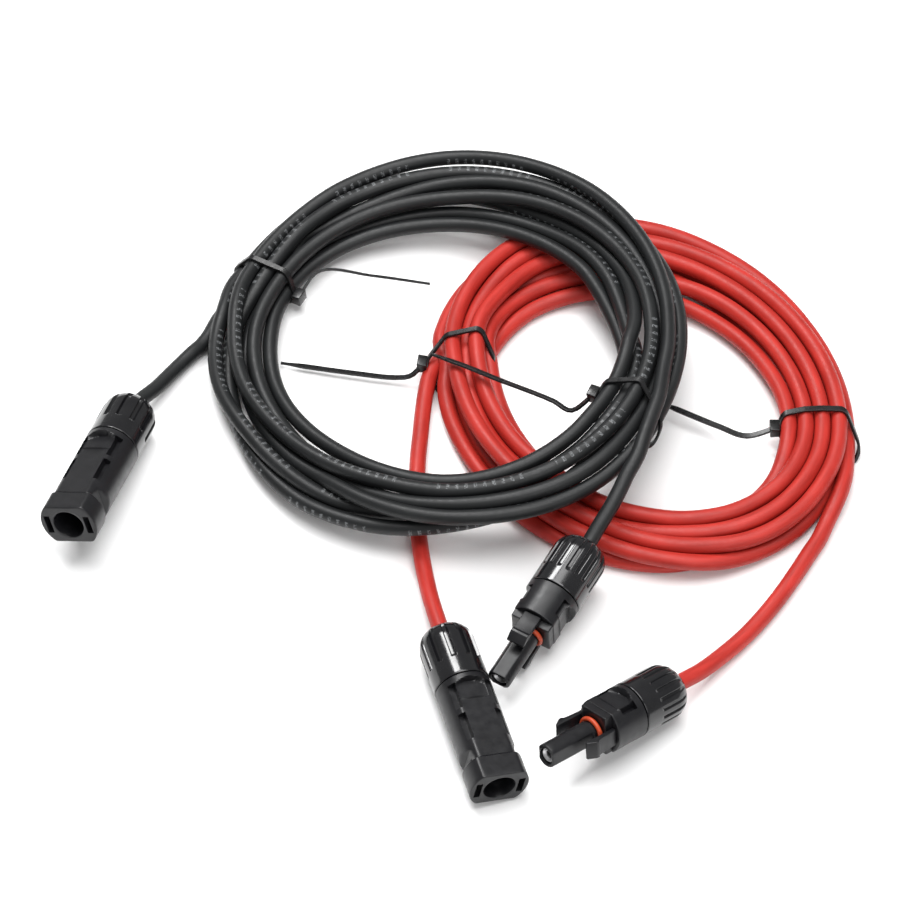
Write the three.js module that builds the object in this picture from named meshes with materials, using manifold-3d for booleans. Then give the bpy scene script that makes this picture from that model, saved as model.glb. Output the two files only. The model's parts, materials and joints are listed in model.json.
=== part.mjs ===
// Pair of coiled solar extension cables, one black and one red, each ending in a shell connector
// and a probe connector, with four cable ties. Millimetres, +Z up, floor at Z = 0.
// Connectors are built about their own axis: local Z = 0 at the back of the cap nut, +Z towards
// the mating face, X across the latches, Y out of the flat panel.
import * as THREE from "three";
import Module from "manifold-3d";

const wasm = await Module();
wasm.setup();

// Cables
const BLACK_CABLE_R = 2.55;
const RED_CABLE_R = 2.75;
const CONDUCTOR_R = 1.25;
const FIT = 0.3;

// Cap nut
const NUT_LEN = 21.0;
const NUT_R = 9.2;
const NUT_THREAD_R = 7.3;
const NUT_HOLE_R = 3.9;

// Connector bodies
const BODY_R = 9.15;
const BODY_BACK = NUT_LEN + FIT;
const SPIGOT_BACK = 8.8;
const SPIGOT_R = 6.9;
const SEAL_BORE_R = 5.2;
const SEAL_BORE_END = 17.5;
const CONTACT_BORE_R = 3.9;
const CONTACT_BORE_END = 31.9;
const FLAT_Y = 7.2;
const PAD_Y = 6.9;
const PAD_START = 23.2;
const PAD_END = 30.0;

// Shell connector
const SHELL_LEN = 60.5;
const SHELL_BORE_R = 5.2;
const SHELL_BORE_START = 36.5;
const SHELL_NOSE_START = 53.2;
const SHELL_NOSE_R = 9.8;
const LATCH_SLOT_IN = 6.05;
const LATCH_SLOT_OUT = 8.15;
const LATCH_SLOT_HALF = 3.4;
const LATCH_SLOT_BACK = 47.2;

// Probe connector
const PROBE_LEN = 56.5;
const PROBE_BARREL_END = 33.6;
const PROBE_BLOCK_END = 36.2;
const PROBE_BLOCK_HALF = 5.6;
const PROBE_R = 3.95;
const PROBE_FLAT_X = 3.3;
const PROBE_BORE_R = 2.75;
const ORING_Z = 37.3;
const ORING_R = 4.5;
const ORING_WIRE_R = 0.7;
const FINGER_BACK = PROBE_BARREL_END + FIT;
const FINGER_HALF = 2.8;

// Coils
const COIL_BASE_R = 60.0;
const COIL_HALF = 10.4;
const BLACK_COIL = {
  x: -1.7, y: 34.3, z: 16.3, rx: 69.0, ry: 69.0, turn: 0, high: 5.2, slope: 6.8, heading: -10.3,
};
const RED_COIL = {
  x: 64.5, y: 18.0, z: 7.1, rx: 66.5, ry: 54.0, turn: 131, high: 5.5, slope: 0, heading: 0,
};

// Ties
const TIE_T = 1.1;
const TIE_W = 2.5;

// The frame's origin is the middle of the four connectors' footprint.
const SHIFT_X = -28.869;
const SHIFT_Y = -64.362;

const rad = THREE.MathUtils.degToRad;
const group = new THREE.Group();

function material(color, roughness, metalness = 0) {
  return new THREE.MeshStandardMaterial({ color, roughness, metalness });
}

function signedVolume(geometry) {
  const p = geometry.attributes.position;
  const index = geometry.index.array;
  const a = new THREE.Vector3();
  const b = new THREE.Vector3();
  const c = new THREE.Vector3();
  let sum = 0;
  for (let i = 0; i < index.length; i += 3) {
    a.fromBufferAttribute(p, index[i]);
    b.fromBufferAttribute(p, index[i + 1]);
    c.fromBufferAttribute(p, index[i + 2]);
    sum += a.dot(b.cross(c));
  }
  return sum;
}

// A three.js geometry welded into a closed solid.
function solid(source) {
  const plain = source.index ? source.toNonIndexed() : source.clone();
  plain.deleteAttribute("normal");
  plain.deleteAttribute("uv");
  const welded = mergeByPosition(plain);
  const index = welded.index.array;
  if (signedVolume(welded) < 0) {
    for (let i = 0; i < index.length; i += 3) {
      const swap = index[i + 1];
      index[i + 1] = index[i + 2];
      index[i + 2] = swap;
    }
  }
  const mesh = new wasm.Mesh({
    numProp: 3,
    vertProperties: new Float32Array(welded.attributes.position.array),
    triVerts: new Uint32Array(index),
  });
  return new wasm.Manifold(mesh);
}

// Vertices on the same 0.1 micrometre grid point become one, and flat triangles are dropped.
function mergeByPosition(geometry) {
  const p = geometry.attributes.position;
  const seen = new Map();
  const points = [];
  const ids = [];
  for (let i = 0; i < p.count; i += 1) {
    const xyz = [p.getX(i), p.getY(i), p.getZ(i)];
    const key = xyz.map((v) => Math.round(v * 1e4)).join(",");
    if (!seen.has(key)) {
      seen.set(key, points.length / 3);
      points.push(...xyz);
    }
    ids.push(seen.get(key));
  }
  const kept = [];
  for (let i = 0; i < ids.length; i += 3) {
    const [a, b, c] = [ids[i], ids[i + 1], ids[i + 2]];
    if (a !== b && b !== c && c !== a) {
      kept.push(a, b, c);
    }
  }
  const out = new THREE.BufferGeometry();
  out.setAttribute("position", new THREE.Float32BufferAttribute(points, 3));
  out.setIndex(kept);
  return out;
}

// A closed profile of [radius, z] points turned about local Z.
function turned(profile, segments) {
  const points = profile.map(([r, z]) => new THREE.Vector2(r, z));
  const axial = profile[0][0] < 1e-6;
  if (!axial) {
    points.push(points[0].clone());
  }
  const geometry = new THREE.LatheGeometry(points, segments);
  geometry.rotateX(Math.PI / 2);
  return solid(geometry);
}

function tubeProfile(inner, outer, back, front) {
  return [[inner, back], [outer, back], [outer, front], [inner, front]];
}

function box(x0, x1, y0, y1, z0, z1) {
  const geometry = new THREE.BoxGeometry(x1 - x0, y1 - y0, z1 - z0);
  geometry.translate((x0 + x1) / 2, (y0 + y1) / 2, (z0 + z1) / 2);
  return solid(geometry);
}

function outline(points) {
  return new THREE.Shape(points.map(([a, b]) => new THREE.Vector2(a, b)));
}

// A profile of [x, z] points extruded along local Y from y0 to y1.
function slabY(points, y0, y1) {
  const geometry = new THREE.ExtrudeGeometry(outline(points), { depth: y1 - y0, bevelEnabled: false });
  geometry.rotateX(Math.PI / 2);
  geometry.translate(0, y1, 0);
  return solid(geometry);
}

function both(make) {
  return wasm.Manifold.union(make(1), make(-1));
}

function place(manifold, matrix) {
  return manifold.transform(matrix.elements);
}

function addPart(name, manifold, look) {
  const found = manifold.getMesh();
  const geometry = new THREE.BufferGeometry();
  const xyz = new Float32Array(found.numVert * 3);
  for (let i = 0; i < found.numVert; i += 1) {
    for (let k = 0; k < 3; k += 1) {
      xyz[3 * i + k] = found.vertProperties[found.numProp * i + k];
    }
  }
  geometry.setAttribute("position", new THREE.BufferAttribute(xyz, 3));
  geometry.setIndex(new THREE.BufferAttribute(new Uint32Array(found.triVerts), 1));
  geometry.translate(-SHIFT_X, -SHIFT_Y, 0);
  geometry.computeVertexNormals();
  const mesh = new THREE.Mesh(geometry, look);
  mesh.name = name;
  group.add(mesh);
}

function capNut(grooves, width, depth, front, rear) {
  const profile = [
    [NUT_HOLE_R, rear], [5.6, rear], [7.4, rear + 1.1], [8.6, rear + 2.9], [NUT_R, rear + 5.4],
    [NUT_R, NUT_LEN - 0.4],
    [NUT_R - 0.4, NUT_LEN], [NUT_THREAD_R, NUT_LEN], [NUT_THREAD_R, 7.2], [6.6, 7.0],
    [NUT_HOLE_R, 2.0],
  ];
  const blank = turned(profile, 24);
  const cuts = [];
  for (let i = 0; i < grooves; i += 1) {
    const angle = (360 * (i + 0.5)) / grooves;
    const cut = box(NUT_R - depth, NUT_R + 1, -width / 2, width / 2, rear + 3.4, front);
    cuts.push(cut.rotate([0, 0, angle]));
  }
  return blank.subtract(wasm.Manifold.union(cuts));
}

function clampCage(cableR) {
  const inner = cableR + FIT;
  const ring = turned([[inner, 3.6], [4.3, 3.6], [6.2, 7.1], [6.2, 8.4], [inner, 8.4]], 16);
  const slits = [];
  for (let i = 0; i < 3; i += 1) {
    slits.push(box(-8, 8, -0.5, 0.5, 3, 6.8).rotate([0, 0, 60 * i]));
  }
  return ring.subtract(wasm.Manifold.union(slits));
}

function cableSeal(cableR) {
  return turned(tubeProfile(cableR + FIT, SEAL_BORE_R - FIT, SPIGOT_BACK, SEAL_BORE_END - FIT), 16);
}

function conductorEnd() {
  return turned([[0, 20.0], [CONDUCTOR_R, 20.0], [CONDUCTOR_R, 27.2], [0, 27.2]], 10);
}

function contactClip() {
  return turned([[2.65, 26.4], [3.3, 26.4], [3.5, 28.4], [2.65, 28.4]], 12);
}

function pinContact() {
  return turned([
    [0, 27.6], [1.6, 27.6], [1.6, 20.2], [2.3, 20.2], [2.3, 28.8], [3.5, 28.8], [3.5, 31.5],
    [1.95, 31.5], [1.95, 51.6], [1.3, 52.7], [0, 53.0],
  ], 12);
}

function socketContact() {
  return turned([
    [0, 27.6], [1.6, 27.6], [1.6, 20.2], [2.3, 20.2], [2.3, 28.8], [3.5, 28.8], [3.5, 31.5],
    [2.4, 31.5], [2.4, 55.4], [2.0, 55.4], [2.0, 36.0], [0, 36.0],
  ], 12);
}

// The parts of a housing both connectors share: threaded spigot, flats, pads and edge slots.
function housingCuts(flatEnd, slots) {
  const cuts = [];
  const round = [];
  for (let i = 0; i <= 6; i += 1) {
    const a = Math.PI + (Math.PI * i) / 6;
    round.push([5.4 * Math.cos(a), PAD_START + 3.2 + 3.2 * Math.sin(a)]);
  }
  for (const side of [1, -1]) {
    const pad = slabY([...round, [5.4, PAD_END], [-5.4, PAD_END]], PAD_Y, 12);
    cuts.push(side > 0 ? pad : pad.mirror([0, 1, 0]));
    cuts.push(side > 0 ? box(-12, 12, FLAT_Y, 12, PAD_END - 0.01, flatEnd)
      : box(-12, 12, -12, -FLAT_Y, PAD_END - 0.01, flatEnd));
    for (const [back, front] of slots) {
      for (const x of [4.5, -6.3]) {
        cuts.push(side > 0 ? box(x, x + 1.8, 5.5, 12, back, front)
          : box(x, x + 1.8, -12, -5.5, back, front));
      }
    }
  }
  return cuts;
}

function shellHousing() {
  const blank = turned([
    [0, SPIGOT_BACK], [SPIGOT_R, SPIGOT_BACK], [SPIGOT_R, BODY_BACK], [BODY_R, BODY_BACK],
    [BODY_R, 49.5], [SHELL_NOSE_R, 49.5], [SHELL_NOSE_R, SHELL_LEN], [0, SHELL_LEN],
  ], 28);
  const bores = turned([
    [0, SPIGOT_BACK - 1], [SEAL_BORE_R, SPIGOT_BACK - 1], [SEAL_BORE_R, SEAL_BORE_END],
    [CONTACT_BORE_R, SEAL_BORE_END], [CONTACT_BORE_R, CONTACT_BORE_END], [2.3, CONTACT_BORE_END],
    [2.3, SHELL_BORE_START], [SHELL_BORE_R, SHELL_BORE_START], [SHELL_BORE_R, SHELL_LEN + 1],
    [0, SHELL_LEN + 1],
  ], 24);
  const cuts = housingCuts(SHELL_LEN + 1, [[23.8, 33.2], [35.2, 45.2]]);
  const notch = [
    [BODY_R + 0.3, 45.4], [7.7, 49.2], [7.7, SHELL_NOSE_START], [12, SHELL_NOSE_START], [12, 45.4],
  ];
  cuts.push(both((s) => {
    const cut = slabY(notch, -12, 12);
    return s > 0 ? cut : cut.mirror([1, 0, 0]);
  }));
  cuts.push(both((s) => {
    const x0 = s > 0 ? LATCH_SLOT_IN : -LATCH_SLOT_OUT;
    const x1 = s > 0 ? LATCH_SLOT_OUT : -LATCH_SLOT_IN;
    return box(x0, x1, -LATCH_SLOT_HALF, LATCH_SLOT_HALF, LATCH_SLOT_BACK, SHELL_LEN + 1);
  }));
  return blank.subtract(bores).subtract(wasm.Manifold.union(cuts));
}

function probeHousing() {
  const blank = turned([
    [0, SPIGOT_BACK], [SPIGOT_R, SPIGOT_BACK], [SPIGOT_R, BODY_BACK], [BODY_R, BODY_BACK],
    [BODY_R, PROBE_BLOCK_END], [PROBE_R, PROBE_BLOCK_END], [PROBE_R - 0.45, PROBE_BLOCK_END + 0.1],
    [PROBE_R - 0.45, ORING_Z + 1.1], [PROBE_R, ORING_Z + 1.1], [PROBE_R, PROBE_LEN - 0.5],
    [PROBE_R - 0.5, PROBE_LEN], [0, PROBE_LEN],
  ], 28);
  const bores = turned([
    [0, SPIGOT_BACK - 1], [SEAL_BORE_R, SPIGOT_BACK - 1], [SEAL_BORE_R, SEAL_BORE_END],
    [CONTACT_BORE_R, SEAL_BORE_END], [CONTACT_BORE_R, CONTACT_BORE_END],
    [PROBE_BORE_R, CONTACT_BORE_END], [PROBE_BORE_R, PROBE_LEN + 1], [0, PROBE_LEN + 1],
  ], 20);
  const cuts = housingCuts(PROBE_BLOCK_END + 1, [[23.8, 29.8]]);
  cuts.push(both((s) => {
    const cut = slabY([
      [PROBE_BLOCK_HALF, PROBE_BARREL_END], [12, PROBE_BARREL_END], [12, 38.6], [4.2, 38.6],
      [4.8, PROBE_BLOCK_END],
    ], -12, 12);
    return s > 0 ? cut : cut.mirror([1, 0, 0]);
  }));
  cuts.push(both((s) => {
    const cut = box(PROBE_FLAT_X, 12, -12, 12, 39.2, PROBE_LEN + 1);
    return s > 0 ? cut : cut.mirror([1, 0, 0]);
  }));
  return blank.subtract(bores).subtract(wasm.Manifold.union(cuts));
}

function latchFinger(side) {
  const finger = slabY([
    [6.3, FINGER_BACK], [7.9, FINGER_BACK], [8.3, 41.2], [9.0, 42.0], [9.0, 42.8], [7.3, 45.6],
    [6.5, 45.6],
  ], -FINGER_HALF, FINGER_HALF);
  return side > 0 ? finger : finger.mirror([1, 0, 0]);
}

function sealRing() {
  const profile = [];
  for (let i = 0; i < 8; i += 1) {
    const a = (2 * Math.PI * i) / 8;
    profile.push([ORING_R + ORING_WIRE_R * Math.cos(a), ORING_Z + ORING_WIRE_R * Math.sin(a)]);
  }
  return turned(profile, 20);
}

// Local Z of a connector along heading and pitch, its panel rolled about that axis. In the poses
// below, rear is how far in front of local Z = 0 the back of the cap nut lies.
function stand({ x, y, z, heading, pitch, roll }) {
  const forward = new THREE.Vector3(
    Math.cos(rad(pitch)) * Math.cos(rad(heading)),
    Math.cos(rad(pitch)) * Math.sin(rad(heading)),
    Math.sin(rad(pitch)),
  );
  const side = new THREE.Vector3().crossVectors(new THREE.Vector3(0, 0, 1), forward).normalize();
  const up = new THREE.Vector3().crossVectors(forward, side);
  const basis = new THREE.Matrix4().makeBasis(side, up, forward);
  basis.multiply(new THREE.Matrix4().makeRotationZ(rad(roll)));
  return new THREE.Matrix4().makeTranslation(x, y, z).multiply(basis);
}

const BLACK_SHELL = {
  x: -105.3, y: 11.5, z: 7.93, heading: -107.9, pitch: 11, roll: 18, rear: 0,
};
const BLACK_PROBE = {
  x: 44.1, y: -50.8, z: 15.0, heading: -120.6, pitch: -5.2, roll: 90, rear: 0,
};
const RED_SHELL = {
  x: -2.2, y: -81.5, z: 9.18, heading: -73.0, pitch: 0, roll: -11, rear: -0.8,
};
const RED_PROBE = {
  x: 72.5, y: -99.3, z: 8.0, heading: -140.5, pitch: 12, roll: 18, rear: 1.8,
};

const nylon = () => material(0x2b2c30, 0.45);
const glossNylon = () => material(0x1c1c1f, 0.2);
const copper = () => material(0xb8673a, 0.35, 1);
const tinned = () => material(0xc9ccd0, 0.25, 1);
const spring = () => material(0x9a9da2, 0.3, 1);
const sealRubber = () => material(0x202022, 0.8);

function commonParts(prefix, cableR, matrix) {
  addPart(`${prefix}_clamp_cage`, place(clampCage(cableR), matrix), nylon());
  addPart(`${prefix}_cable_seal`, place(cableSeal(cableR), matrix), sealRubber());
  addPart(`${prefix}_conductor_end`, place(conductorEnd(), matrix), copper());
  addPart(`${prefix}_contact_clip`, place(contactClip(), matrix), spring());
}

function shellConnector(prefix, cableR, pose) {
  const matrix = stand(pose);
  addPart(`${prefix}_housing`, place(shellHousing(), matrix), nylon());
  addPart(`${prefix}_cap_nut`, place(capNut(12, 1.5, 1.0, 13.5, pose.rear), matrix), glossNylon());
  addPart(`${prefix}_pin_contact`, place(pinContact(), matrix), tinned());
  commonParts(prefix, cableR, matrix);
}

function probeConnector(prefix, cableR, pose) {
  const matrix = stand(pose);
  addPart(`${prefix}_housing`, place(probeHousing(), matrix), nylon());
  addPart(`${prefix}_cap_nut`, place(capNut(18, 0.9, 0.6, 14.0, pose.rear), matrix), glossNylon());
  addPart(`${prefix}_latch_finger_a`, place(latchFinger(1), matrix), nylon());
  addPart(`${prefix}_latch_finger_b`, place(latchFinger(-1), matrix), nylon());
  addPart(`${prefix}_probe_ring`, place(sealRing(), matrix), material(0xd9562c, 0.5));
  addPart(`${prefix}_socket_contact`, place(socketContact(), matrix), tinned());
  commonParts(prefix, cableR, matrix);
}

// Coil plane: X and Y in the plane before its long axis is turned, Z out of it.
function coilPlane({ x, y, z, slope, heading }) {
  const hinge = new THREE.Vector3(Math.sin(rad(heading)), -Math.cos(rad(heading)), 0);
  const tip = new THREE.Matrix4().makeRotationAxis(hinge, rad(slope));
  return new THREE.Matrix4().makeTranslation(x, y, z).multiply(tip);
}

function coilRing(coil) {
  const { high, rx, ry, turn } = coil;
  const inner = COIL_BASE_R - COIL_HALF;
  const outer = COIL_BASE_R + COIL_HALF;
  const ring = turned([
    [inner, 2.4 - high], [inner + 2.4, -high], [outer - 2.4, -high], [outer, 2.4 - high],
    [outer, high - 2.4], [outer - 2.4, high], [inner + 2.4, high], [inner, high - 2.4],
  ], 40);
  const oval = ring.scale([rx / COIL_BASE_R, ry / COIL_BASE_R, 1]).rotate([0, 0, turn]);
  return place(oval, coilPlane(coil));
}

// Half the bundle's width, and a frame on the bundle's middle at an angle round the coil: X
// outwards, Y out of the coil's plane.
function bundleFrame(coil, angle) {
  const t = rad(angle - coil.turn);
  const along = new THREE.Vector3(-coil.rx * Math.sin(t), coil.ry * Math.cos(t), 0).normalize();
  const out = new THREE.Vector3(along.y, -along.x, 0);
  const middle = new THREE.Vector3(coil.rx * Math.cos(t), coil.ry * Math.sin(t), 0);
  const local = new THREE.Matrix4().makeBasis(out, new THREE.Vector3(0, 0, 1), along.negate());
  local.setPosition(middle);
  const turnZ = new THREE.Matrix4().makeRotationZ(rad(coil.turn));
  const half = (COIL_HALF * middle.dot(out)) / COIL_BASE_R;
  return { frame: coilPlane(coil).multiply(turnZ).multiply(local), half };
}

function swept(points, section, steps) {
  const path = new THREE.CatmullRomCurve3(points.map((p) => new THREE.Vector3(...p)));
  const options = { steps, extrudePath: path, bevelEnabled: false };
  return solid(new THREE.ExtrudeGeometry(section, options));
}

function roundSection(radius, sides) {
  const points = [];
  for (let i = 0; i < sides; i += 1) {
    const a = (2 * Math.PI * i) / sides;
    points.push([radius * Math.cos(a), radius * Math.sin(a)]);
  }
  return outline(points);
}

// A cable end: straight out through the cap nut of a connector, then on through world points.
function lead(name, pose, cableR, points, look) {
  const matrix = stand(pose);
  const inside = [19.4, 9.0, -1.0].map((z) => new THREE.Vector3(0, 0, z).applyMatrix4(matrix));
  const all = [...inside.map((p) => p.toArray()), ...points];
  addPart(name, swept(all, roundSection(cableR, 8), 22), look);
}

// Corner points in counter-clockwise order, so the same outline serves as an edge and as a hole.
function roundedLoop(half, high, corner) {
  return outline([
    [-half, corner - high], [corner - half, -high], [half - corner, -high], [half, corner - high],
    [half, high - corner], [half - corner, high], [corner - half, high], [-half, high - corner],
  ]);
}

// A tie: strap round the bundle, head on the coil's inside (-1) or outside (1), tail through
// world points.
function cableTie(name, coil, angle, side, tail) {
  const { frame, half: bundle } = bundleFrame(coil, angle);
  const half = bundle + FIT;
  const high = coil.high + FIT;
  const strap = roundedLoop(half + TIE_T, high + TIE_T, 3.0);
  strap.holes.push(roundedLoop(half, high, 2.2));
  const loop = new THREE.ExtrudeGeometry(strap, { depth: TIE_W, bevelEnabled: false });
  loop.translate(0, 0, -TIE_W / 2);
  const edge = half + TIE_T;
  const near = side * (edge - 0.4);
  const far = side * (edge + 3.4);
  const head = box(Math.min(near, far), Math.max(near, far), -1.6, 3.2, -2.4, 2.4);
  const body = place(solid(loop).add(head), frame);
  const start = new THREE.Vector3(side * (edge + 1.6), 0.8, 0).applyMatrix4(frame);
  const section = outline([[-0.5, -1.1], [0.5, -1.1], [0.5, 1.1], [-0.5, 1.1]]);
  const free = swept([start.toArray(), ...tail], section, 12);
  addPart(name, body.add(free), material(0x151515, 0.35));
}

shellConnector("black_shell", BLACK_CABLE_R, BLACK_SHELL);
probeConnector("black_probe", BLACK_CABLE_R, BLACK_PROBE);
shellConnector("red_shell", RED_CABLE_R, RED_SHELL);
probeConnector("red_probe", RED_CABLE_R, RED_PROBE);

const blackJacket = () => material(0x35373a, 0.6);
const redJacket = () => material(0xc8322b, 0.5);
addPart("black_cable_coil", coilRing(BLACK_COIL), blackJacket());
addPart("red_cable_coil", coilRing(RED_COIL), redJacket());

lead("black_cable_lead_shell", BLACK_SHELL, BLACK_CABLE_R, [
  [-98.3, 22.4, 5.2], [-95.1, 27.4, 4.2], [-90.6, 34.0, 3.3], [-86.1, 39.8, 3.0],
], blackJacket());
lead("black_cable_lead_probe", BLACK_PROBE, BLACK_CABLE_R, [
  [47.3, -45.3, 17.5], [51.7, -39.6, 20.5], [54.9, -34.6, 23.5], [57.8, -29.6, 26.5],
  [61.1, -24.3, 29.0],
], blackJacket());
lead("red_cable_lead_shell", RED_SHELL, RED_CABLE_R, [
  [-6.1, -66.3, 7.5], [-8.1, -54.7, 5.0], [-9.6, -43.5, 3.4], [-10.8, -31.1, 3.0],
  [-11.2, -20.9, 3.0], [-10.7, -10.1, 3.0], [-10.1, -0.1, 3.0], [-8.9, 9.7, 3.2],
  [-7.9, 17.5, 3.6],
], redJacket());
lead("red_cable_lead_probe", RED_PROBE, RED_CABLE_R, [
  [79.8, -93.4, 6.0], [86.0, -87.2, 4.4], [95.8, -76.7, 3.1], [105.8, -63.6, 3.0],
  [111.6, -55.2, 3.0], [114.2, -49.2, 3.0],
], redJacket());

cableTie("black_tie_left", BLACK_COIL, 152.4, -1, [
  [-44.3, 68.8, 10.0], [-26.2, 67.5, 9.0], [-6.8, 64.8, 8.0],
]);
cableTie("black_tie_right", BLACK_COIL, -26, -1, [
  [34.0, 5.3, 21.0], [15.6, 16.0, 18.0], [4.0, 23.1, 16.5], [-6.4, 28.1, 16.0],
]);
cableTie("red_tie_left", RED_COIL, 163, 1, [
  [-13.5, 28.4, 4.6], [-19.5, 28.6, 3.4], [-33.0, 30.7, 2.4], [-45.0, 32.9, 1.9],
  [-56.0, 35.1, 1.8],
]);
cableTie("red_tie_right", RED_COIL, -11, -1, [
  [98.4, 1.3, 6.0], [89.9, 5.1, 6.0], [81.7, 9.3, 6.0], [75.5, 12.6, 6.0], [68.6, 16.0, 6.0],
]);

export default group;
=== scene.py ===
"""A black and a red solar extension cable, coiled and tied, with their four connectors."""

import json
import math

import bmesh
import bpy
import numpy as np
from mathutils import Matrix, Vector


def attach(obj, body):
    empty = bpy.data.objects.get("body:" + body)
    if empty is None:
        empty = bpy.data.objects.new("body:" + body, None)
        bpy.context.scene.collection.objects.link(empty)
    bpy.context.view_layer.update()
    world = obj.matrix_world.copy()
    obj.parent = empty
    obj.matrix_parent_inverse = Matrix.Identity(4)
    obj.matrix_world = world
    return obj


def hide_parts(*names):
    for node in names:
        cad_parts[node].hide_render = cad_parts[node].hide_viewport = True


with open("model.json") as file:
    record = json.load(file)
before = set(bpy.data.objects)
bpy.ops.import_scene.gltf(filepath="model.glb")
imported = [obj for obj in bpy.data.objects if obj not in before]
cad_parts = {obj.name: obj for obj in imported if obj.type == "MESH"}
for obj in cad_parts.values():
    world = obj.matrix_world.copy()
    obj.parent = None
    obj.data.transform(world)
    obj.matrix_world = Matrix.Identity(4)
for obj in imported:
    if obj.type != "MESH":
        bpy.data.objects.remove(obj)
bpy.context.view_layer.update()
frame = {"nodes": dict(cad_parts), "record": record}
record = frame["record"]

MM = 0.001  # metres in a millimetre
ORIGIN = np.array([-28.869, -64.362, 0.0])
BLACK_D = 5.1
RED_D = 5.5


def row(points):
    """Millimetres on the table to metres in the row frame."""
    return (np.asarray(points, float) - ORIGIN) * MM


# ---------------------------------------------------------------- camera
scene = bpy.context.scene
camera_data = bpy.data.cameras.new("camera")
camera_data.lens = 180
camera_data.sensor_width = 36
camera_data.clip_end = 20
camera = bpy.data.objects.new("camera", camera_data)
scene.collection.objects.link(camera)
target = Vector(row([0, 0, 0]))
camera.location = Vector(row([0, -902.7, 1198.0]))
camera.rotation_euler = (target - camera.location).to_track_quat("-Z", "Y").to_euler()
scene.camera = camera


# ---------------------------------------------------------------- materials
def shader(name):
    mat = bpy.data.materials.new(name)
    mat.use_nodes = True
    tree = mat.node_tree
    return mat, tree, tree.nodes["Principled BSDF"]


def ramp(tree, source, stops):
    node = tree.nodes.new("ShaderNodeValToRGB")
    tree.links.new(source, node.inputs["Fac"])
    elements = node.color_ramp.elements
    while len(elements) < len(stops):
        elements.new(0.5)
    for element, (at, value) in zip(elements, stops):
        element.position = at
        element.color = (*value, 1) if len(value) == 3 else value
    return node.outputs["Color"]


def noise(tree, scale, detail=4, rough=0.55, distortion=0.0):
    coord = tree.nodes.new("ShaderNodeTexCoord")
    node = tree.nodes.new("ShaderNodeTexNoise")
    node.inputs["Scale"].default_value = scale
    node.inputs["Detail"].default_value = detail
    node.inputs["Roughness"].default_value = rough
    node.inputs["Distortion"].default_value = distortion
    tree.links.new(coord.outputs["Object"], node.inputs["Vector"])
    return node.outputs["Fac"]


def math_node(tree, kind, a, b):
    node = tree.nodes.new("ShaderNodeMath")
    node.operation = kind
    for socket, value in zip(node.inputs, (a, b)):
        if isinstance(value, (int, float)):
            socket.default_value = value
        else:
            tree.links.new(value, socket)
    return node.outputs[0]


def bump(tree, bsdf, height, strength, distance=0.0002):
    node = tree.nodes.new("ShaderNodeBump")
    node.inputs["Strength"].default_value = strength
    node.inputs["Distance"].default_value = distance
    tree.links.new(height, node.inputs["Height"])
    tree.links.new(node.outputs["Normal"], bsdf.inputs["Normal"])


def moulded(name, dark, light, rough, grain=0.25, coat=0.0):
    """Moulded plastic: mottled colour, fine grain, patchy roughness."""
    mat, tree, bsdf = shader(name)
    blotch = noise(tree, 160, 3)
    tree.links.new(ramp(tree, blotch, [(0.3, dark), (0.7, light)]), bsdf.inputs["Base Color"])
    patch = noise(tree, 420, 5)
    low, high = rough
    tree.links.new(
        ramp(tree, patch, [(0.3, (low,) * 3), (0.72, (high,) * 3)]), bsdf.inputs["Roughness"]
    )
    bump(tree, bsdf, noise(tree, 2600, 3), grain, 0.00004)
    bsdf.inputs["Coat Weight"].default_value = coat
    bsdf.inputs["Coat Roughness"].default_value = 0.12
    bsdf.inputs["Specular IOR Level"].default_value = 0.38
    return mat


def metal(name, color, rough):
    mat, tree, bsdf = shader(name)
    tone = noise(tree, 300, 4)
    dark = tuple(c * 0.8 for c in color)
    tree.links.new(ramp(tree, tone, [(0.3, dark), (0.7, color)]), bsdf.inputs["Base Color"])
    tree.links.new(
        ramp(tree, noise(tree, 900, 5), [(0.3, (rough,) * 3), (0.7, (rough + 0.15,) * 3)]),
        bsdf.inputs["Roughness"],
    )
    bsdf.inputs["Metallic"].default_value = 1.0
    bump(tree, bsdf, noise(tree, 1500, 4), 0.15, 0.00003)
    return mat


def jacket(name, dark, light, rough, marks):
    """Cable jacket: UV x runs along the cable in metres, y once round it."""
    mat, tree, bsdf = shader(name)
    coord = tree.nodes.new("ShaderNodeUVMap")
    coord.uv_map = "along"
    stretch = tree.nodes.new("ShaderNodeMapping")
    stretch.inputs["Scale"].default_value = (60, 6, 1)
    tree.links.new(coord.outputs["UV"], stretch.inputs["Vector"])
    streak = tree.nodes.new("ShaderNodeTexNoise")
    streak.inputs["Scale"].default_value = 1.0
    streak.inputs["Detail"].default_value = 5
    tree.links.new(stretch.outputs["Vector"], streak.inputs["Vector"])
    base = ramp(tree, streak.outputs["Fac"], [(0.3, dark), (0.7, light)])
    if marks:
        base = ink(tree, coord, base, marks)
    tree.links.new(base, bsdf.inputs["Base Color"])
    low, high = rough
    tree.links.new(
        ramp(tree, noise(tree, 700, 6), [(0.3, (low,) * 3), (0.7, (high,) * 3)]),
        bsdf.inputs["Roughness"],
    )
    grain = math_node(tree, "ADD", noise(tree, 3200, 3), math_node(
        tree, "MULTIPLY", streak.outputs["Fac"], 0.6))
    bump(tree, bsdf, grain, 0.22, 0.00005)
    bsdf.inputs["Specular IOR Level"].default_value = 0.32
    return mat


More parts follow.
